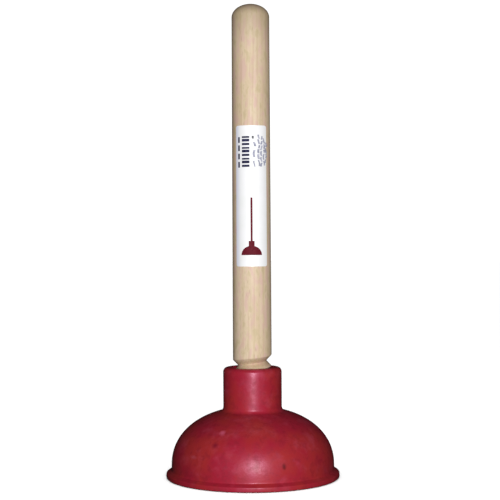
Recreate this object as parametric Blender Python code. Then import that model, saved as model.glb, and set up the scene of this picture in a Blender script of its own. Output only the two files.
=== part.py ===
"""Sink plunger: a hollow rubber cup, and a turned wooden handle that screws into the cup's collar.

The cup stands on z = 0 with its axis on Z, and the label faces -Y. The cup is one rubber moulding on the
real object. It is split here where it flexes: at the rim, the dome, the crown and the collar.
"""

import math

import bmesh
import bpy

# Driving dimensions, in metres and degrees.
GAP = 0.0003  # between touching pieces
SEGMENTS = 40  # around the axis

RIM_R = 0.0508
RIM_LAND_R = 0.0462  # inner edge of the flat land that the cup stands on
RIM_EDGE_R = 0.0005  # rounding of the lower edge
RIM_SHOULDER_R = 0.0008  # rounding of the band's upper edge
RIM_BAND_TOP = 0.0022
RIM_LEDGE_Z = 0.0039  # where the sloping ledge meets the bell
RIM_TOP = 0.0060

BELL_R = 0.0477  # the bell's outside is a superellipse
BELL_RISE = 0.0334
BELL_FOOT_Z = 0.0072
BELL_POWER = 2.175
WALL = 0.0033

CROWN_R = 0.0240

COLLAR_R = 0.0172
COLLAR_TOP = 0.0641
COLLAR_EDGE_R = 0.0026
COLLAR_FOOT_R = 0.0026  # fillet onto the crown
COLLAR_FOOT_EDGE = 0.0003  # thickness where the fillet ends
MOUTH_EDGE_R = 0.0008
SOCKET_Z = 0.0450
SOCKET_FLOOR_THICK = 0.0011
SOCKET_FLOOR_MARGIN = 0.0012  # from the socket's wall to the floor's edge

HANDLE_LOW_R = 0.0114
HANDLE_TOP_R = 0.0111
HANDLE_TOP = 0.2774
HANDLE_DOME = 0.0078  # height of the rounded end
TENON_TIP_R = 0.0082
TENON_CHAMFER = 0.0032

# The thread is right-handed: its root rises with the angle from +X.
THREAD_PITCH = 0.00635  # 4 threads to the inch
THREAD_ROOT_R = 0.00835
THREAD_ROOT_Z = 0.0681  # height of the root at angle 0
THREAD_STEP = 360 / SEGMENTS
THREAD_FULL_TO = 20  # the groove is at full depth up to this angle
THREAD_RUN_OUT = 110  # and then rises out of the wood in this many degrees
THREAD_THINNEST = 0.00005  # depth of a thread's section where it has faded out
TURN_SPACE = 0.00003  # keeps one turn of the cutter off the next
RIDGE_FADE = 60  # the socket's ridge starts and ends in this many degrees
RIDGE_ROOTED = 0.0002  # how far the ridge reaches into the socket's wall
RIDGE_LOW_Z = 0.0496
RIDGE_HIGH_Z = 0.0605

LABEL_LOW = 0.1233
LABEL_HIGH = 0.2051
LABEL_HALF_ANGLE = 50
LABEL_THICK = 0.0002
LABEL_STEPS = 12

RUBBER_RED = (0.30, 0.022, 0.036)
RUBBER_ROUGHNESS = 0.55
WOOD_TAN = (0.72, 0.56, 0.40)
WOOD_ROUGHNESS = 0.6
PAPER_WHITE = (0.93, 0.93, 0.94)
PAPER_ROUGHNESS = 0.5
SHARP_FROM = 35  # edges that turn further than this many degrees stay sharp

SOCKET_R = HANDLE_LOW_R + GAP
TENON_TIP_Z = SOCKET_Z + GAP + SOCKET_FLOOR_THICK + GAP


def clear_scene():
    for item in list(bpy.data.objects):
        bpy.data.objects.remove(item)


def material(name, colour, roughness):
    made = bpy.data.materials.new(name)
    made.use_nodes = True
    shader = made.node_tree.nodes["Principled BSDF"]
    shader.inputs["Base Color"].default_value = (*colour, 1)
    shader.inputs["Roughness"].default_value = roughness
    shader.inputs["Metallic"].default_value = 0
    return made


def finished(name, mesh, finish):
    """The bmesh as a smooth-shaded object with its own material."""
    bmesh.ops.recalc_face_normals(mesh, faces=mesh.faces)
    data = bpy.data.meshes.new(name)
    mesh.to_mesh(data)
    mesh.free()
    data.shade_smooth()
    data.set_sharp_from_angle(angle=math.radians(SHARP_FROM))
    data.materials.append(finish)
    made = bpy.data.objects.new(name, data)
    bpy.context.scene.collection.objects.link(made)
    return made


def turned(name, outline, finish):
    """A solid turned about Z. The outline of (r, z) points ends on the axis twice, or closes into a ring."""
    mesh = bmesh.new()
    points = [mesh.verts.new((r, 0, z)) for r, z in outline]
    solid = outline[0][0] == 0
    following = points[1:] if solid else points[1:] + points[:1]
    edges = [mesh.edges.new(pair) for pair in zip(points, following)]
    bmesh.ops.spin(
        mesh, geom=points + edges, cent=(0, 0, 0), axis=(0, 0, 1), angle=2 * math.pi, steps=SEGMENTS
    )
    bmesh.ops.remove_doubles(mesh, verts=mesh.verts, dist=1e-6)
    return finished(name, mesh, finish)


def arc(centre_r, centre_z, radius, start, end, steps):
    """Points of a circle's arc in the (r, z) plane, from angle start to angle end."""
    angles = [math.radians(start + (end - start) * i / steps) for i in range(steps + 1)]
    return [(centre_r + radius * math.cos(a), centre_z + radius * math.sin(a)) for a in angles]


def bell_z(r, inset=0.0):
    """Height of the bell's surface at radius r, on a shell that lies inset under the outside."""
    share = (r / (BELL_R - inset)) ** BELL_POWER
    return BELL_FOOT_Z + (BELL_RISE - inset) * (1 - share) ** (1 / BELL_POWER)


def bell_curve(start, end, steps, inset=0.0):
    """Points of the bell's outline between two angles, 0 at its foot and 90 on the axis."""
    points = []
    for i in range(steps + 1):
        angle = math.radians(start + (end - start) * i / steps)
        r = (BELL_R - inset) * max(math.cos(angle), 0) ** (2 / BELL_POWER)
        z = BELL_FOOT_Z + (BELL_RISE - inset) * math.sin(angle) ** (2 / BELL_POWER)
        points.append((r, z))
    return points


def bell_angle(r, inset=0.0):
    """The angle of the bell's outline at which it has radius r."""
    return math.degrees(math.acos((r / (BELL_R - inset)) ** (BELL_POWER / 2)))


def crown_curve(radii, inset=0.0, lift=0.0):
    return [(r, bell_z(r, inset) + lift) for r in radii]


def rim_outline():
    """A band with rounded edges, a sloping ledge above it, and a small fillet up to the bell."""
    inner_r = BELL_R - WALL
    return [
        (RIM_LAND_R, 0),
        *arc(RIM_R - RIM_EDGE_R, RIM_EDGE_R, RIM_EDGE_R, -90, 0, 2),
        *arc(RIM_R - RIM_SHOULDER_R, RIM_BAND_TOP, RIM_SHOULDER_R, 0, 60, 2),
        *arc(BELL_R + RIM_SHOULDER_R, RIM_LEDGE_Z + RIM_SHOULDER_R, RIM_SHOULDER_R, 240, 180, 2),
        (BELL_R, RIM_TOP),
        (inner_r, RIM_TOP),
        (inner_r, RIM_BAND_TOP),
    ]


def dome_outline():
    """From the rim up to the crown on the outside, and back down on the inside."""
    outer = bell_curve(0, bell_angle(CROWN_R + GAP), 8)
    inner = bell_curve(bell_angle(CROWN_R + GAP, WALL), 0, 8, WALL)
    foot = RIM_TOP + GAP
    return [(BELL_R, foot), *outer, *inner, (BELL_R - WALL, foot)]


def crown_outline():
    radii = [CROWN_R * i / 4 for i in range(5)]
    return crown_curve(radii, WALL) + crown_curve(radii[::-1])


def collar_outline():
    """The underside follows the crown, and the socket is blind: it is open only at the mouth."""
    foot_r = COLLAR_R + COLLAR_FOOT_R
    foot_z = bell_z(foot_r) + GAP + COLLAR_FOOT_EDGE
    under = crown_curve([foot_r * i / 4 for i in range(5)], lift=GAP)
    foot = arc(foot_r, foot_z + COLLAR_FOOT_R, COLLAR_FOOT_R, 270, 180, 3)
    shoulder = arc(COLLAR_R - COLLAR_EDGE_R, COLLAR_TOP - COLLAR_EDGE_R, COLLAR_EDGE_R, 0, 90, 4)
    mouth = arc(SOCKET_R + MOUTH_EDGE_R, COLLAR_TOP - MOUTH_EDGE_R, MOUTH_EDGE_R, 90, 180, 2)
    return [*under, *foot, *shoulder, *mouth, (SOCKET_R, SOCKET_Z), (0, SOCKET_Z)]


def handle_r(z):
    """The shaft tapers evenly from the collar up to where its end rounds over."""
    share = (z - COLLAR_TOP) / (HANDLE_TOP - HANDLE_DOME - COLLAR_TOP)
    return HANDLE_LOW_R + (HANDLE_TOP_R - HANDLE_LOW_R) * max(share, 0)


def handle_outline():
    dome = []
    for i in range(7):
        angle = math.radians(90 * i / 6)
        dome.append((HANDLE_TOP_R * math.cos(angle), HANDLE_TOP - HANDLE_DOME * (1 - math.sin(angle))))
    return [
        (0, TENON_TIP_Z),
        (TENON_TIP_R, TENON_TIP_Z),
        (HANDLE_LOW_R, TENON_TIP_Z + TENON_CHAMFER),
        (HANDLE_LOW_R, COLLAR_TOP),
        *dome[:-1],
        (0, HANDLE_TOP),
    ]


def helix(name, start, end, tip_r, base_r, finish):
    """A helper sweep of the thread's 90 degree V. tip_r gives the V's tip radius at each angle."""
    mesh = bmesh.new()
    sections = []
    count = round((end - start) / THREAD_STEP)
    for i in range(count + 1):
        turn = start + (end - start) * i / count
        root_z = THREAD_ROOT_Z + THREAD_PITCH * turn / 360
        r = tip_r(turn)
        half = base_r - r
        angle = math.radians(turn)
        corners = [(r, root_z), (base_r, root_z + half), (base_r, root_z - half)]
        sections.append(
            [mesh.verts.new((cr * math.cos(angle), cr * math.sin(angle), cz)) for cr, cz in corners]
        )
    for low, high in zip(sections, sections[1:]):
        for k in range(3):
            mesh.faces.new((low[k], high[k], high[k - 1], low[k - 1]))
    mesh.faces.new(sections[0])
    mesh.faces.new(reversed(sections[-1]))
    helper = finished(name, mesh, finish)
    helper.hide_render = True
    helper.display_type = "WIRE"
    return helper


def apply_boolean(target, operation, helper):
    cut = target.modifiers.new(helper.name, "BOOLEAN")
    cut.operation = operation
    cut.solver = "EXACT"
    cut.object = helper


def groove_cutter(finish):
    """Starts under the tenon's tip and rises out of the wood above the collar."""
    base_r = THREAD_ROOT_R + THREAD_PITCH / 2 - TURN_SPACE

    def tip_r(turn):
        share = min(max((turn - THREAD_FULL_TO) / THREAD_RUN_OUT, 0), 1)
        return THREAD_ROOT_R + (base_r - THREAD_THINNEST - THREAD_ROOT_R) * share

    below = TENON_TIP_Z - THREAD_PITCH
    start = (below - THREAD_ROOT_Z) / THREAD_PITCH * 360
    return helix("groove_cutter", start, THREAD_FULL_TO + THREAD_RUN_OUT, tip_r, base_r, finish)


def socket_ridge(finish):
    """The rubber thread that fills the groove, a gap away from both of its flanks."""
    tip = THREAD_ROOT_R + GAP * math.sqrt(2)
    base_r = SOCKET_R + RIDGE_ROOTED
    start = (RIDGE_LOW_Z - THREAD_ROOT_Z) / THREAD_PITCH * 360
    end = (RIDGE_HIGH_Z - THREAD_ROOT_Z) / THREAD_PITCH * 360

    def tip_r(turn):
        share = min((turn - start) / RIDGE_FADE, (end - turn) / RIDGE_FADE, 1)
        faded = base_r - THREAD_THINNEST
        return faded + (tip - faded) * share

    return helix("socket_ridge", start, end, tip_r, base_r, finish)


def label(finish):
    """A thin sheet that wraps part of the shaft, centred on -Y, a gap away from the wood."""
    mesh = bmesh.new()
    columns = []
    for i in range(LABEL_STEPS + 1):
        angle = math.radians(-90 + LABEL_HALF_ANGLE * (2 * i / LABEL_STEPS - 1))
        corners = []
        for z, lift in ((LABEL_LOW, 0), (LABEL_HIGH, 0), (LABEL_HIGH, 1), (LABEL_LOW, 1)):
            r = handle_r(z) + GAP + LABEL_THICK * lift
            corners.append(mesh.verts.new((r * math.cos(angle), r * math.sin(angle), z)))
        columns.append(corners)
    for left, right in zip(columns, columns[1:]):
        for k in range(4):
            mesh.faces.new((left[k], right[k], right[k - 1], left[k - 1]))
    mesh.faces.new(columns[0])
    mesh.faces.new(reversed(columns[-1]))
    return finished("label", mesh, finish)


def rubber(name):
    return material(name, RUBBER_RED, RUBBER_ROUGHNESS)


def cup():
    turned("cup_rim", rim_outline(), rubber("rim_rubber"))
    turned("cup_dome", dome_outline(), rubber("dome_rubber"))
    turned("cup_crown", crown_outline(), rubber("crown_rubber"))
    collar_rubber = rubber("collar_rubber")
    collar = turned("cup_collar", collar_outline(), collar_rubber)
    apply_boolean(collar, "UNION", socket_ridge(collar_rubber))


def socket_floor():
    """A round pad at the bottom of the socket, under the handle's tip."""
    low = SOCKET_Z + GAP
    high = low + SOCKET_FLOOR_THICK
    edge_r = SOCKET_R - SOCKET_FLOOR_MARGIN
    turned("socket_floor", [(0, low), (edge_r, low), (edge_r, high), (0, high)], rubber("floor_rubber"))


def handle():
    wood = material("handle_wood", WOOD_TAN, WOOD_ROUGHNESS)
    shaft = turned("handle", handle_outline(), wood)
    apply_boolean(shaft, "DIFFERENCE", groove_cutter(wood))


def build():
    clear_scene()
    cup()
    socket_floor()
    handle()
    label(material("label_paper", PAPER_WHITE, PAPER_ROUGHNESS))


build()
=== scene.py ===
"""Sink plunger: the looks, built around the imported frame. Lengths are metres and angles degrees."""

import math
import random

import bmesh
import bpy
import numpy as np
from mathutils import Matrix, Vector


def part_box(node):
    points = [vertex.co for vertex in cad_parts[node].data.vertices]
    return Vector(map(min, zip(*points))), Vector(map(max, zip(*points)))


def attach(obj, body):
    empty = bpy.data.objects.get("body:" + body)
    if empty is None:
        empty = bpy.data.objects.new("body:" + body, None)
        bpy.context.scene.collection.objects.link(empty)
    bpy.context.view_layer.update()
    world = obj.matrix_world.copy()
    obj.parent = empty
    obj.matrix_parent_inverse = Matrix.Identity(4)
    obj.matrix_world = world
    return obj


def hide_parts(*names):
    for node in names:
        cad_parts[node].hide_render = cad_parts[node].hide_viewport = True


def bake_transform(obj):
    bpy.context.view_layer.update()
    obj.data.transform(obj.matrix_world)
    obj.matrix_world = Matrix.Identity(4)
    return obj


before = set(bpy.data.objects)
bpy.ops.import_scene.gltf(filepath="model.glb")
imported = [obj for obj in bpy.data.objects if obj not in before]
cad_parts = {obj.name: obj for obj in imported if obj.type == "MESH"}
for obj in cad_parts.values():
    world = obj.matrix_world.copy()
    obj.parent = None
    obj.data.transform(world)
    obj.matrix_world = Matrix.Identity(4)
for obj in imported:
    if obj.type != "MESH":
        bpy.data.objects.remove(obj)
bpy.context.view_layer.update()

# Places read from the frame.
RIM_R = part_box("cup_rim")[1].x
CREST_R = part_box("handle")[1].x  # the shaft's radius where it meets the collar
COLLAR_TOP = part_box("cup_collar")[1].z
TENON_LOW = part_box("handle")[0].z
HANDLE_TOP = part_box("handle")[1].z
SOCKET_FLOOR_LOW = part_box("socket_floor")[0].z
LABEL_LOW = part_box("label")[0].z
LABEL_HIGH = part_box("label")[1].z

# The cup, one moulding on the real object. The bell's outside is a superellipse.
BELL_R = 0.0477
BELL_RISE = 0.0334
BELL_FOOT_Z = 0.0072
BELL_POWER = 2.175
WALL = 0.0033
RIM_LAND_R = 0.0462
RIM_EDGE_R = 0.0007
RIM_BAND_TOP = 0.0022
RIM_SHOULDER_R = 0.0008
RIM_LEDGE_Z = 0.0039
RIM_LIP = 0.0006  # flare of the rim's inside, below the bell
COLLAR_R = 0.0172
COLLAR_EDGE_R = 0.0026
COLLAR_FOOT_R = 0.0026
MOUTH_EDGE_R = 0.0009
SOCKET_GAP = 0.0003
NECK_SUNK = 0.0006  # how far the neck's underside lies under the crown's skin

SHARP_FROM = 40  # edges that turn further than this stay sharp

# The handle and its right-handed thread, whose root rises with the angle from +X.
HANDLE_TOP_R = 0.0111
HANDLE_DOME = 0.0078
TENON_TIP_R = 0.0082
TENON_CHAMFER = 0.0032
THREAD_PITCH = 0.00635
THREAD_ROOT_Z = 0.0681
THREAD_DEPTH = 0.00305
THREAD_TOP = THREAD_ROOT_Z + 0.0075
THREAD_FULL_TO = 20
THREAD_RUN_OUT = 110
GROOVE_ROOT_ROUND = 0.00035
GROOVE_EDGE_ROUND = 0.00022
RIDGE_LOW_Z = 0.0496
RIDGE_HIGH_Z = 0.0605
RIDGE_FADE = 0.001  # height in which the socket's thread fades out at each end
RIDGE_CLEAR = 0.0004  # taken off the socket's thread, so that it clears the wood
RIDGE_SHORT = 0.0002
RIDGE_ROOT_ROUND = 0.0004
RIDGE_EDGE_ROUND = 0.0002

# The label. Places on it are given by their distance below its top and round from its middle.
LABEL_HALF_ANGLE = 50
LABEL_CORNER_R = 0.0014
LABEL_LIFT = 0.00006
PAPER_THICK = 0.00012
INK_THICK = 0.00002
SHEET_STEP = 0.0006  # between the columns of a sheet that follows the shaft
WAVE_STEP = 0.0004  # between the rows of a wavy stroke
WAVE_RATE = 1000  # radians of its wave to a metre

# The print. Bars and blocks are evenly spaced. A column of strokes is (middle, start, end), and a single
# stroke is (below, tall, middle, wide, sway, phase). Ranges are for the random draws.
BARS_BELOW = 0.0052
BARS_PITCH = 0.0021
BAR_SHARES = (0.50, 0.75, 0.62) * 3
BARS_LEFT = -0.0056
BARS_RIGHT = -0.0010
BLOCKS_PITCH = 0.0048
BLOCK_COUNT = 4
BLOCK_SHARE = 0.7
BLOCKS_LEFT = -0.0082
BLOCKS_RIGHT = -0.0070
DOT_BELOW = 0.0061
DOT_TALL = 0.0017
DOT_LEFT = 0.0003
DOT_RIGHT = 0.0016
STROKE_COLUMNS = (
    (0.0046, 0.0054, 0.0234),
    (0.0063, 0.0062, 0.0240),
    (0.0080, 0.0074, 0.0216),
    (0.0095, 0.0098, 0.0196),
)
STROKE_TALL = (0.0018, 0.0036)
STROKE_WIDE = (0.0009, 0.0014)
STROKE_SPACE = (0.0003, 0.0008)
STROKE_SWAY = 0.0004
SINGLE_STROKES = (
    (0.0098, 0.0024, 0.0019, 0.0013, 0.0004, 1.0),
    (0.0143, 0.0042, 0.0017, 0.0013, 0.0003, 2.4),
    (0.0205, 0.0036, 0.0018, 0.0008, 0.0003, 0.6),
)

# The sign, a plain pictogram. Its foot and its tops are heights above the label's foot.
SIGN_FOOT = 0.0066
SIGN_CUP_HALF = 0.0062
SIGN_CUP_TALL = 0.0054
SIGN_NECK_HALF = 0.0017
SIGN_NECK_TOP = 0.0148
SIGN_BAR_HALF = 0.0006
SIGN_BAR_TOP = 0.0400

# The camera looks level, from near the height of the object's middle. The lens is in millimetres.
VIEW_DISTANCE = 0.72
VIEW_HEIGHT = 0.13285
VIEW_SIDE = -0.0010
VIEW_ROLL = 0.33
VIEW_LENS = 88.13

# The light. The lamp's place is told from the camera.
AMBIENT = 0.015
FLOOR_LIGHT = 3.5
LAMP_WATTS = 5.9
LAMP_WIDE = 0.11
LAMP_TALL = 0.30
LAMP_RIGHT = 0.04
LAMP_UP = 0.04
BACKGROUND = 1.1  # what the camera sees behind the object

FLOOR_HALF = 14
FLOOR_DROP = 0.0002

# Marks on the bell: place, reach, stretch in each direction, strength and colour.
RUBBER_MARKS = (
    ((0.0172, -0.0440, 0.0132), 0.0018, (1.0, 1, 0.7), 0.85, (84, 18, 20)),
    ((-0.0171, -0.0324, 0.0303), 0.0026, (1.1, 1, 0.8), 0.65, (204, 92, 122)),
    ((-0.0211, -0.0370, 0.0238), 0.0026, (1, 1, 1), 0.7, (108, 8, 38)),
    ((-0.0334, -0.0320, 0.0165), 0.0022, (0.6, 0.6, 1.6), 0.5, (176, 76, 92)),
)


# ---------------------------------------------------------------- shapes


def new_object(name, verts, faces):
    """A smooth-shaded mesh object, whose edges stay sharp from SHARP_FROM degrees."""
    data = bpy.data.meshes.new(name)
    data.from_pydata([tuple(v) for v in verts], [], faces)
    mesh = bmesh.new()
    mesh.from_mesh(data)
    bmesh.ops.recalc_face_normals(mesh, faces=mesh.faces)
    mesh.to_mesh(data)
    mesh.free()
    data.shade_smooth()
    data.set_sharp_from_angle(angle=math.radians(SHARP_FROM))
    made = bpy.data.objects.new(name, data)
    bpy.context.scene.collection.objects.link(made)
    return made


def turned(name, outline, segments, shift=None):
    """A solid turned about Z from (r, z) points that start and end on the axis. shift moves the points."""
    angles = np.arange(segments) * 2 * math.pi / segments
    rings = outline[1:-1]
    verts = []
    for r, z in rings:
        radii = np.full(segments, r)
        if shift is not None:
            radii = shift(radii, z, angles)
        verts += list(zip(radii * np.cos(angles), radii * np.sin(angles), np.full(segments, z)))
    first, last = len(verts), len(verts) + 1
    verts += [(0, 0, outline[0][1]), (0, 0, outline[-1][1])]
    faces = []
    for i in range(segments):
        j = (i + 1) % segments
        faces.append((first, j, i))
        faces.append((last, (len(rings) - 1) * segments + i, (len(rings) - 1) * segments + j))
        for k in range(len(rings) - 1):
            a, b = k * segments, (k + 1) * segments
            faces.append((a + i, a + j, b + j, b + i))
    return new_object(name, verts, faces)


def arc(centre_r, centre_z, radius, start, end, steps):
    """Points (r, z) of an arc between two angles, 0 outwards and 90 up."""
    angles = [math.radians(start + (end - start) * i / steps) for i in range(steps + 1)]
    return [(centre_r + radius * math.cos(a), centre_z + radius * math.sin(a)) for a in angles]


def bell_z(r, inset=0.0):
    """Height of the bell's surface at radius r, on a shell that lies inset under the outside."""
    share = (r / (BELL_R - inset)) ** BELL_POWER
    return BELL_FOOT_Z + (BELL_RISE - inset) * (1 - share) ** (1 / BELL_POWER)


def bell_curve(start, end, steps, inset=0.0):
    """Points of the bell's outline between two angles, 0 at its foot and 90 on the axis."""
    points = []
    for i in range(steps + 1):
        angle = math.radians(start + (end - start) * i / steps)
        r = (BELL_R - inset) * max(math.cos(angle), 0) ** (2 / BELL_POWER)
        z = BELL_FOOT_Z + (BELL_RISE - inset) * math.sin(angle) ** (2 / BELL_POWER)
        points.append((r, z))
    return points


def bell_lean(r):
    """How far the bell's skin falls away below level at radius r, in degrees."""
    step = 0.0001
    return math.degrees(math.atan2(bell_z(r - step) - bell_z(r + step), 2 * step))


def handle_r(z):
    """The shaft's radius at height z, which falls a little towards the top."""
    share = (z - COLLAR_TOP) / (HANDLE_TOP - HANDLE_DOME - COLLAR_TOP)
    return CREST_R + (HANDLE_TOP_R - CREST_R) * min(max(share, 0), 1)


def groove_depth(z, angles, depth, root_round, edge_round):
    """Depth of the V groove, with rounded corners, at height z and at each angle."""
    deepest = np.zeros_like(angles)
    base = np.degrees(angles)
    for turn in range(-6, 2):
        theta = base + 360 * turn
        faded = np.clip((theta - THREAD_FULL_TO) / THREAD_RUN_OUT, 0, 1)
        local = depth * (1 - faded)
        away = np.abs(z - THREAD_ROOT_Z - THREAD_PITCH * theta / 360)
        v = local + root_round - np.sqrt(away**2 + root_round**2)
        v = np.where(theta > THREAD_FULL_TO + THREAD_RUN_OUT, -depth, v)
        deepest = np.maximum(deepest, 0.5 * (v + np.sqrt(v**2 + edge_round**2)))
    return deepest


def make_bell():
    """Rim, dome and crown in one closed shell, open below."""
    outer = bell_curve(90, 0, 40)
    inner = bell_curve(0, 90, 36, WALL)
    inner_r = BELL_R - WALL
    rim = [
        (BELL_R, RIM_LEDGE_Z + 2 * RIM_SHOULDER_R),
        *arc(BELL_R + RIM_SHOULDER_R, RIM_LEDGE_Z + RIM_SHOULDER_R, RIM_SHOULDER_R, 180, 240, 6),
        *arc(RIM_R - RIM_SHOULDER_R, RIM_BAND_TOP, RIM_SHOULDER_R, 60, 0, 6),
        *arc(RIM_R - RIM_EDGE_R, RIM_EDGE_R, RIM_EDGE_R, 0, -90, 5),
        *arc(RIM_LAND_R + RIM_EDGE_R, RIM_EDGE_R, RIM_EDGE_R, -90, -150, 4),
        (inner_r + RIM_LIP, RIM_BAND_TOP),
        (inner_r, RIM_LEDGE_Z),
    ]
    outline = [(0, outer[0][1]), *outer[1:], *rim, *inner[:-1], (0, inner[-1][1])]
    return turned("cup_bell", outline, 160)


def ridge(radii, z, angles):
    """The socket's wall, with the rubber thread that fills the handle's groove."""
    fade_in = min(max((z - RIDGE_LOW_Z) / RIDGE_FADE, 0), 1)
    fade_out = min(max((RIDGE_HIGH_Z - z) / RIDGE_FADE, 0), 1)
    depth = groove_depth(z, angles, THREAD_DEPTH - RIDGE_SHORT, RIDGE_ROOT_ROUND, RIDGE_EDGE_ROUND)
    reach = depth - RIDGE_CLEAR
    return radii - np.clip(reach, 0, None) * (fade_in * fade_out)


def make_neck():
    """The collar with its blind threaded socket. Its foot runs out onto the crown in a fillet."""
    lean = bell_lean(COLLAR_R + 0.7 * COLLAR_FOOT_R)
    foot_r = COLLAR_R + COLLAR_FOOT_R * (1 - math.sin(math.radians(lean)))
    foot_z = bell_z(foot_r) + COLLAR_FOOT_R * math.cos(math.radians(lean))
    bore_r = CREST_R + SOCKET_GAP
    floor_z = SOCKET_FLOOR_LOW - SOCKET_GAP
    under = [(r, bell_z(r) - NECK_SUNK) for r in np.linspace(0, foot_r, 8)]
    fillet = arc(COLLAR_R + COLLAR_FOOT_R, foot_z, COLLAR_FOOT_R, 270 - lean, 180, 12)
    sides = [(COLLAR_R, z) for z in np.linspace(foot_z, COLLAR_TOP - COLLAR_EDGE_R, 10)[1:-1]]
    shoulder = arc(COLLAR_R - COLLAR_EDGE_R, COLLAR_TOP - COLLAR_EDGE_R, COLLAR_EDGE_R, 0, 90, 8)
    mouth = arc(bore_r + MOUTH_EDGE_R, COLLAR_TOP - MOUTH_EDGE_R, MOUTH_EDGE_R, 90, 180, 5)
    bore = [(bore_r, z) for z in np.linspace(COLLAR_TOP - MOUTH_EDGE_R, floor_z, 46)[1:]]
    outline = [*under, *fillet, *sides, *shoulder, *mouth, *bore, (0, floor_z)]

    def shift(radii, z, angles):
        inside = abs(radii[0] - bore_r) < 1e-9
        return ridge(radii, z, angles) if inside else radii

    return turned("cup_neck", outline, 120, shift)


def make_handle():
    """The turned shaft, with a threaded tenon at its lower end and a rounded top."""
    low = [(TENON_TIP_R * share, TENON_LOW) for share in (0, 0.5, 1)]
    threaded = np.linspace(TENON_LOW, THREAD_TOP, 150)[1:]
    shaft = np.linspace(THREAD_TOP, HANDLE_TOP - HANDLE_DOME, 60)[1:]
    body = [(handle_r(z), z) for z in [*threaded, *shaft]]
    dome = []
    for i in range(1, 15):
        angle = math.radians(90 * i / 15)
        dome.append((HANDLE_TOP_R * math.cos(angle), HANDLE_TOP - HANDLE_DOME * (1 - math.sin(angle))))
    outline = [*low, *body, *dome, (0, HANDLE_TOP)]

    def shift(radii, z, angles):
        if z <= TENON_LOW or z > THREAD_TOP:
            return radii
        chamfer = TENON_TIP_R + (z - TENON_LOW) * (CREST_R - TENON_TIP_R) / TENON_CHAMFER
        cut = radii - groove_depth(z, angles, THREAD_DEPTH, GROOVE_ROOT_ROUND, GROOVE_EDGE_ROUND)
        return np.minimum(cut, chamfer)

    return turned("wood_handle", outline, 144, shift)


def make_socket_pad():
    """The round pad at the bottom of the socket."""
    low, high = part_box("socket_floor")
    edge = 0.0003
    outline = [
        (0, low.z),
        (high.x - edge, low.z),
        (high.x, low.z + edge),
        (high.x, high.z - edge),
        (high.x - edge, high.z),
        (0, high.z),
    ]
    return turned("socket_pad", outline, 96)


def wrapped(name, shapes, lift, thick):
    """Thin closed sheets that follow the shaft's front. A shape is a list of (z, left, right) rows, where
    left and right are distances round the shaft from its front line."""
    verts, faces = [], []
    for rows in shapes:
        columns = max(2, math.ceil(max(right - left for _, left, right in rows) / SHEET_STEP)) + 1
        start = len(verts)
        for layer in (0, 1):
            for z, left, right in rows:
                r = handle_r(z) + lift + thick * layer
                for k in range(columns):
                    along = left + (right - left) * k / (columns - 1)
                    angle = math.radians(-90) + along / CREST_R
                    verts.append((r * math.cos(angle), r * math.sin(angle), z))

        def at(layer, row, column):
            return start + (layer * len(rows) + row) * columns + column

        for i in range(len(rows) - 1):
            for k in range(columns - 1):
                faces.append((at(1, i, k), at(1, i, k + 1), at(1, i + 1, k + 1), at(1, i + 1, k)))
                faces.append((at(0, i, k), at(0, i + 1, k), at(0, i + 1, k + 1), at(0, i, k + 1)))
            end = columns - 1
            faces.append((at(0, i, 0), at(1, i, 0), at(1, i + 1, 0), at(0, i + 1, 0)))
            faces.append((at(0, i, end), at(0, i + 1, end), at(1, i + 1, end), at(1, i, end)))
        top = len(rows) - 1
        for k in range(columns - 1):
            faces.append((at(0, 0, k), at(0, 0, k + 1), at(1, 0, k + 1), at(1, 0, k)))
            faces.append((at(0, top, k), at(1, top, k), at(1, top, k + 1), at(0, top, k + 1)))
    return new_object(name, verts, faces)


# ---------------------------------------------------------------- materials


class Nodes:
    """Short calls for building one material."""

    def __init__(self, name):
        self.material = bpy.data.materials.new(name)
        self.material.use_nodes = True
        self.tree = self.material.node_tree
        self.shader = self.tree.nodes["Principled BSDF"]

    def add(self, kind, settings=None, **inputs):
        node = self.tree.nodes.new(kind)
        for key, value in (settings or {}).items():
            setattr(node, key, value)
        for key, value in inputs.items():
            self.set(node.inputs[key.replace("_", " ")], value)
        return node

    def set(self, socket, value):
        if isinstance(value, bpy.types.NodeSocket):
            self.tree.links.new(value, socket)
        else:
            socket.default_value = value

    def math(self, operation, a, b):
        node = self.add("ShaderNodeMath", {"operation": operation})
        self.set(node.inputs[0], a)
        self.set(node.inputs[1], b)
        return node.outputs[0]

    def mapped(self, scale, offset=(0, 0, 0)):
        place = self.add("ShaderNodeTexCoord")
        node = self.add("ShaderNodeMapping", None, Scale=scale, Location=offset)
        self.set(node.inputs["Vector"], place.outputs["Object"])
        return node.outputs["Vector"]

    def noise(self, vector, scale, detail, roughness):
        node = self.add(
            "ShaderNodeTexNoise", None, Vector=vector, Scale=scale, Detail=detail, Roughness=roughness
        )
        return node.outputs["Fac"]

    def ramp(self, value, low, high, to_low=0.0, to_high=1.0):
        node = self.add("ShaderNodeMapRange", {"interpolation_type": "SMOOTHSTEP"}, Value=value)
        for key, limit in zip(("From Min", "From Max", "To Min", "To Max"), (low, high, to_low, to_high)):
            node.inputs[key].default_value = limit
        return node.outputs["Result"]

    def mix(self, share, a, b):
        node = self.add("ShaderNodeMix", {"data_type": "RGBA"})
        self.set(node.inputs[0], share)
        self.set(node.inputs[6], a)
        self.set(node.inputs[7], b)
        return node.outputs[2]

    def bump(self, height, distance, strength, normal=None):
        node = self.add("ShaderNodeBump", None, Height=height, Distance=distance, Strength=strength)
        if normal is not None:
            self.set(node.inputs["Normal"], normal)
        return node.outputs["Normal"]

    def finish(self, **inputs):
        for key, value in inputs.items():
            self.set(self.shader.inputs[key.replace("_", " ")], value)
        return self.material


def linear(r, g, b):
    """A colour given as 8 bit display values, in the linear values that Blender mixes."""
    channels = []
    for value in (r, g, b):
        share = value / 255
        channels.append(share / 12.92 if share <= 0.04045 else ((share + 0.055) / 1.055) ** 2.4)
    return (*channels, 1)


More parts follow.
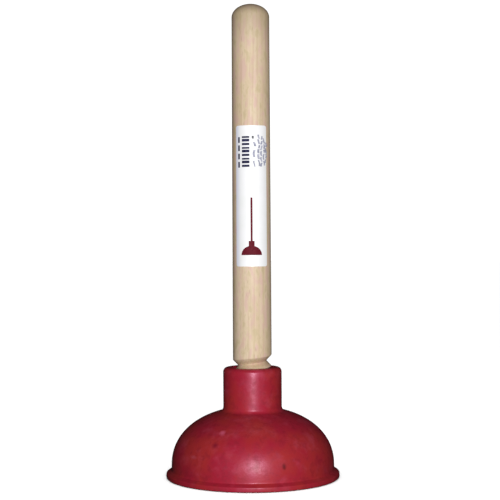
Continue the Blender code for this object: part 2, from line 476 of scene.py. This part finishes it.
def mark(n, place, at, stretch, reach, ragged):
    """A small mark on the surface: 1 round the point at, fading to 0 with a ragged edge by about reach."""
    off = n.add("ShaderNodeVectorMath", {"operation": "SUBTRACT"})
    n.set(off.inputs[0], place)
    n.set(off.inputs[1], at)
    scaled = n.add("ShaderNodeVectorMath", {"operation": "MULTIPLY"})
    n.set(scaled.inputs[0], off.outputs[0])
    n.set(scaled.inputs[1], stretch)
    length = n.add("ShaderNodeVectorMath", {"operation": "LENGTH"})
    n.set(length.inputs[0], scaled.outputs[0])
    uneven = n.math("MULTIPLY", ragged, reach)
    return n.ramp(n.math("ADD", length.outputs["Value"], uneven), 0.5 * reach, 1.6 * reach, 1, 0)


def rubber_material():
    """Satin red rubber: a pale uneven bloom, darker mottling, a few rubbed spots and a nick."""
    n = Nodes("red_rubber")
    even = n.mapped((1, 1, 1))
    patches = n.noise(even, 45, 3, 0.55)
    flecks = n.noise(even, 260, 3, 0.6)
    grain = n.noise(even, 1700, 2, 0.5)
    bloom = n.noise(even, 110, 5, 0.65)
    colour = n.mix(n.ramp(patches, 0.38, 0.64), linear(158, 30, 50), linear(162, 42, 44))
    colour = n.mix(n.ramp(flecks, 0.45, 0.72, 0, 0.40), colour, linear(122, 20, 32))
    colour = n.mix(n.ramp(bloom, 0.48, 0.75, 0, 0.28), colour, linear(190, 78, 100))
    for at, reach, stretch, share, tint in RUBBER_MARKS:
        spot = n.math("MULTIPLY", mark(n, even, at, stretch, reach, flecks), share)
        colour = n.mix(spot, colour, linear(*tint))
    rough = n.ramp(flecks, 0.3, 0.7, 0.36, 0.54)
    normal = n.bump(grain, 0.00005, 0.6)
    normal = n.bump(flecks, 0.00012, 0.5, normal)
    normal = n.bump(patches, 0.0005, 0.35, normal)
    return n.finish(
        Base_Color=colour, Roughness=rough, Normal=normal, Specular_IOR_Level=0.48,
        Specular_Tint=(1, 0.5, 0.75, 1), Coat_Weight=0.12, Coat_Roughness=0.26,
        Coat_Normal=normal,
    )


def wood_material():
    """Bare sanded hardwood: rings nearly straight along the shaft, fine fibres and short dark pores."""
    n = Nodes("pale_wood")
    long = n.mapped((1, 1, 0.12))
    fibre = n.mapped((1, 1, 0.045))
    # The pith lies outside the dowel, so the growth rings show as bands along the shaft.
    rings_at = n.mapped((1, 1, 0.025), (0.031, 0.018, 0))
    rings = n.add(
        "ShaderNodeTexWave",
        {"wave_type": "RINGS", "rings_direction": "Z", "wave_profile": "SAW"},
        Vector=rings_at, Scale=105, Distortion=2.4, Detail=3, Detail_Scale=1.4,
    ).outputs["Fac"]
    tone = n.noise(long, 75, 3, 0.5)
    blush = n.noise(n.mapped((1, 1, 0.4), (0.3, 0.1, 0.2)), 340, 3, 0.55)
    streaks = n.noise(fibre, 800, 4, 0.6)
    pores = n.add("ShaderNodeTexVoronoi", None, Vector=n.mapped((1, 1, 0.11)), Scale=1250)
    short = n.ramp(pores.outputs["Distance"], 0.10, 0.26, 1, 0)
    kept = n.ramp(n.noise(n.mapped((1, 1, 0.2)), 420, 2, 0.5), 0.5, 0.62)
    pits = n.math("MULTIPLY", short, kept)
    colour = n.mix(n.ramp(tone, 0.36, 0.66), linear(220, 199, 171), linear(213, 190, 157))
    colour = n.mix(n.ramp(blush, 0.46, 0.62, 0, 0.75), colour, linear(216, 181, 169))
    colour = n.mix(n.ramp(blush, 0.46, 0.32, 0, 0.6), colour, linear(194, 178, 138))
    colour = n.mix(n.ramp(rings, 0.5, 1.0, 0, 0.30), colour, linear(190, 166, 126))
    colour = n.mix(n.ramp(streaks, 0.42, 0.78, 0, 0.42), colour, linear(180, 158, 126))
    colour = n.mix(n.math("MULTIPLY", pits, 0.35), colour, linear(138, 108, 80))
    # Painted shade: the cut thread's wood is darkened where it lies below the shaft's crest, up to the
    # thread's top.
    radius = n.add("ShaderNodeVectorMath", {"operation": "LENGTH"})
    n.set(radius.inputs[0], n.mapped((1, 1, 0)))
    painted_groove_shade = n.ramp(radius.outputs["Value"], CREST_R - 0.0020, CREST_R - 0.0004, 0.3, 0)
    height = n.add("ShaderNodeSeparateXYZ", None, Vector=n.mapped((1, 1, 1))).outputs["Z"]
    low = n.ramp(height, THREAD_TOP, THREAD_TOP + 0.001, 1, 0)
    colour = n.mix(n.math("MULTIPLY", painted_groove_shade, low), colour, linear(150, 110, 72))
    # The wood turns darker and browner over the last 30 mm towards its rounded top.
    end = n.ramp(height, HANDLE_TOP - 0.030, HANDLE_TOP - 0.002, 0, 0.6)
    colour = n.mix(end, colour, linear(164, 146, 116))
    rough = n.ramp(streaks, 0.3, 0.7, 0.52, 0.68)
    normal = n.bump(streaks, 0.00008, 0.6)
    normal = n.bump(pits, -0.00008, 0.7, normal)
    return n.finish(Base_Color=colour, Roughness=rough, Normal=normal, Specular_IOR_Level=0.35)


def paper_material():
    """White paper, with a faint cool tint of painted shade along its left edge."""
    n = Nodes("white_paper")
    even = n.mapped((1, 1, 1))
    cloud = n.noise(even, 120, 4, 0.6)
    tooth = n.noise(even, 2200, 2, 0.5)
    colour = n.mix(n.ramp(cloud, 0.35, 0.7), linear(248, 248, 250), linear(243, 244, 244))
    # Painted shade: a darker cool band along the left edge, where the label turns away from the light.
    across = n.add("ShaderNodeSeparateXYZ", None, Vector=even).outputs["X"]
    colour = n.mix(n.ramp(across, -0.0085, -0.0062, 0.8, 0), colour, linear(226, 228, 246))
    rough = n.ramp(cloud, 0.3, 0.7, 0.38, 0.5)
    normal = n.bump(tooth, 0.00002, 0.4)
    return n.finish(Base_Color=colour, Roughness=rough, Normal=normal)


def ink_material(name, colour, faded):
    """Printed ink, a little uneven."""
    n = Nodes(name)
    uneven = n.noise(n.mapped((1, 1, 1)), 700, 3, 0.6)
    mixed = n.mix(n.ramp(uneven, 0.35, 0.75), linear(*colour), linear(*faded))
    rough = n.ramp(uneven, 0.3, 0.7, 0.50, 0.62)
    return n.finish(Base_Color=mixed, Roughness=rough, Specular_IOR_Level=0.06)


# ---------------------------------------------------------------- the object


def give(piece, material, body):
    """Gives a piece its material and slot, and fixes it to its body when one is given."""
    piece.data.materials.clear()
    piece.data.materials.append(material)
    if body:
        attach(piece, body)
    return piece


def make_cup():
    """The rubber moulding: the bell, the neck, and the pad in the socket."""
    rubber = rubber_material()
    bell = give(make_bell(), rubber, None)
    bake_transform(bell)
    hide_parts("cup_rim", "cup_dome", "cup_crown")
    neck = give(make_neck(), rubber, None)
    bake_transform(neck)
    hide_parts("cup_collar")
    pad = give(make_socket_pad(), rubber, "socket")
    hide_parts("socket_floor")


def make_wood():
    """The wooden handle, dressed and fixed to its body."""
    handle = give(make_handle(), wood_material(), "handle")
    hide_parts("handle")


def paper_rows():
    """The label's outline with small round corners."""
    half = math.radians(LABEL_HALF_ANGLE) * CREST_R
    rows = []
    for i in range(7):
        angle = math.radians(90 * i / 6)
        side = half - LABEL_CORNER_R * (1 - math.sin(angle))
        rows.append((LABEL_LOW + LABEL_CORNER_R * (1 - math.cos(angle)), -side, side))
    return rows + [(LABEL_LOW + LABEL_HIGH - z, left, right) for z, left, right in reversed(rows)]


def dash(below, tall, share, left, right):
    """A bar across the label, at the lower end of a space of which share is inked."""
    low = LABEL_HIGH - below - tall
    return [(low, left, right), (low + share * tall, left, right)]


def wave(below, tall, middle, wide, sway, phase):
    """A wavy stroke that runs down the label."""
    rows = []
    count = max(round(tall / WAVE_STEP), 3)
    for i in range(count + 1):
        z = LABEL_HIGH - below - tall * i / count
        along = middle + sway * math.sin(phase + (z - LABEL_LOW) * WAVE_RATE)
        rows.append((z, along - wide / 2, along + wide / 2))
    return rows[::-1]


def make_print(above):
    """Even bars and blocks, which encode nothing, and columns of strokes, which spell nothing."""
    navy = ink_material("navy_ink", (34, 34, 62), (58, 60, 92))
    grey = ink_material("grey_ink", (148, 150, 168), (196, 196, 212))
    dark = ink_material("dark_ink", (92, 92, 96), (128, 128, 132))
    code = []
    for i, share in enumerate(BAR_SHARES):
        code.append(dash(BARS_BELOW + BARS_PITCH * i, BARS_PITCH, share, BARS_LEFT, BARS_RIGHT))
    for i in range(BLOCK_COUNT):
        below = BARS_BELOW + BLOCKS_PITCH * i
        code.append(dash(below, BLOCKS_PITCH, BLOCK_SHARE, BLOCKS_LEFT, BLOCKS_RIGHT))
    give(wrapped("label_code", code, above, INK_THICK), navy, "handle")

    dot = dash(DOT_BELOW, DOT_TALL, 1, DOT_LEFT, DOT_RIGHT)
    give(wrapped("label_dot", [dot], above, INK_THICK), dark, "handle")

    rng = random.Random(7)
    lines = [wave(*stroke) for stroke in SINGLE_STROKES]
    for middle, start, end in STROKE_COLUMNS:
        below = start
        while below < end:
            tall = rng.uniform(*STROKE_TALL)
            wide = rng.uniform(*STROKE_WIDE)
            lines.append(wave(below, tall, middle, wide, STROKE_SWAY, rng.uniform(0, 6)))
            below += tall + rng.uniform(*STROKE_SPACE)
    give(wrapped("label_lines", lines, above, INK_THICK), grey, "handle")


def make_sign(above):
    """A plain plunger sign in one flat ink: half an ellipse, with a short block and a thin bar on it."""
    ink = ink_material("maroon_ink", (104, 26, 40), (92, 22, 34))
    halves = []
    for i in range(17):
        angle = math.radians(90 * i / 16)
        halves.append((SIGN_FOOT + SIGN_CUP_TALL * math.sin(angle), SIGN_CUP_HALF * math.cos(angle)))
    halves = [(up, max(half, SIGN_NECK_HALF)) for up, half in halves]
    halves += [(SIGN_NECK_TOP, SIGN_NECK_HALF), (SIGN_NECK_TOP + INK_THICK, SIGN_BAR_HALF)]
    halves.append((SIGN_BAR_TOP, SIGN_BAR_HALF))
    rows = [(LABEL_LOW + up, -half, half) for up, half in halves]
    give(wrapped("label_sign", [rows], above, INK_THICK), ink, "handle")


def make_label():
    """The paper, with the print on it."""
    sheet = wrapped("paper_label", [paper_rows()], LABEL_LIFT, PAPER_THICK)
    give(sheet, paper_material(), "handle")
    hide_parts("label")
    above = LABEL_LIFT + PAPER_THICK
    make_print(above)
    make_sign(above)


# ---------------------------------------------------------------- the stage


def make_floor():
    """A wide pale floor, which throws no light back on the object."""
    corners = ((-1, -1), (1, -1), (1, 1), (-1, 1))
    verts = [(FLOOR_HALF * x, FLOOR_HALF * y, 0) for x, y in corners]
    data = bpy.data.meshes.new("floor")
    data.from_pydata(verts, [], [(0, 1, 2, 3)])
    floor = bpy.data.objects.new("floor", data)
    bpy.context.scene.collection.objects.link(floor)
    floor.location.z = -FLOOR_DROP
    floor.visible_diffuse = False
    floor.visible_glossy = False
    n = Nodes("pale_floor")
    data.materials.append(n.finish(Base_Color=linear(244, 244, 244), Roughness=0.9, Specular_IOR_Level=0.0))
    return floor


def make_world():
    """A white studio, whose light on the object is kept low so that the lamp shapes it."""
    world = bpy.data.worlds.new("white_studio")
    world.use_nodes = True
    tree = world.node_tree
    seen = tree.nodes["Background"]
    seen.inputs["Color"].default_value = (1, 1, 1, 1)
    seen.inputs["Strength"].default_value = BACKGROUND
    lit = tree.nodes.new("ShaderNodeBackground")
    lit.inputs["Color"].default_value = (1, 1, 1, 1)
    lit.inputs["Strength"].default_value = AMBIENT
    path = tree.nodes.new("ShaderNodeLightPath")
    mixed = tree.nodes.new("ShaderNodeMixShader")
    tree.links.new(path.outputs["Is Camera Ray"], mixed.inputs[0])
    tree.links.new(lit.outputs[0], mixed.inputs[1])
    tree.links.new(seen.outputs[0], mixed.inputs[2])
    tree.links.new(mixed.outputs[0], tree.nodes["World Output"].inputs["Surface"])
    bpy.context.scene.world = world


def make_floor_light(floor):
    """A wide soft light straight from above, which lights only the floor."""
    data = bpy.data.lights.new("floor_light", "SUN")
    data.energy = FLOOR_LIGHT
    data.angle = math.radians(120)
    light = bpy.data.objects.new("floor_light", data)
    bpy.context.scene.collection.objects.link(light)
    light.location.z = 2
    lit = bpy.data.collections.new("floor_only")
    lit.objects.link(floor)
    light.light_linking.receiver_collection = lit


def make_camera():
    """A level camera in front of the object, rolled a little."""
    data = bpy.data.cameras.new("camera")
    data.sensor_width = 36
    data.lens = VIEW_LENS
    data.clip_end = 60
    camera = bpy.data.objects.new("camera", data)
    bpy.context.scene.collection.objects.link(camera)
    camera.location = (VIEW_SIDE, -VIEW_DISTANCE, VIEW_HEIGHT)
    camera.rotation_euler = (math.radians(90), math.radians(VIEW_ROLL), 0)
    bpy.context.scene.camera = camera
    return camera


def make_camera_light(camera):
    """A soft lamp beside the camera, which goes with it."""
    data = bpy.data.lights.new("camera_light", "AREA")
    data.shape = "RECTANGLE"
    data.size = LAMP_WIDE
    data.size_y = LAMP_TALL
    data.energy = LAMP_WATTS
    light = bpy.data.objects.new("camera_light", data)
    bpy.context.scene.collection.objects.link(light)
    light.parent = camera
    light.location = (LAMP_RIGHT, LAMP_UP, 0)


make_cup()
make_wood()
make_label()
make_world()
make_floor_light(make_floor())
make_camera_light(make_camera())

bpy.context.scene.view_settings.view_transform = "Standard"
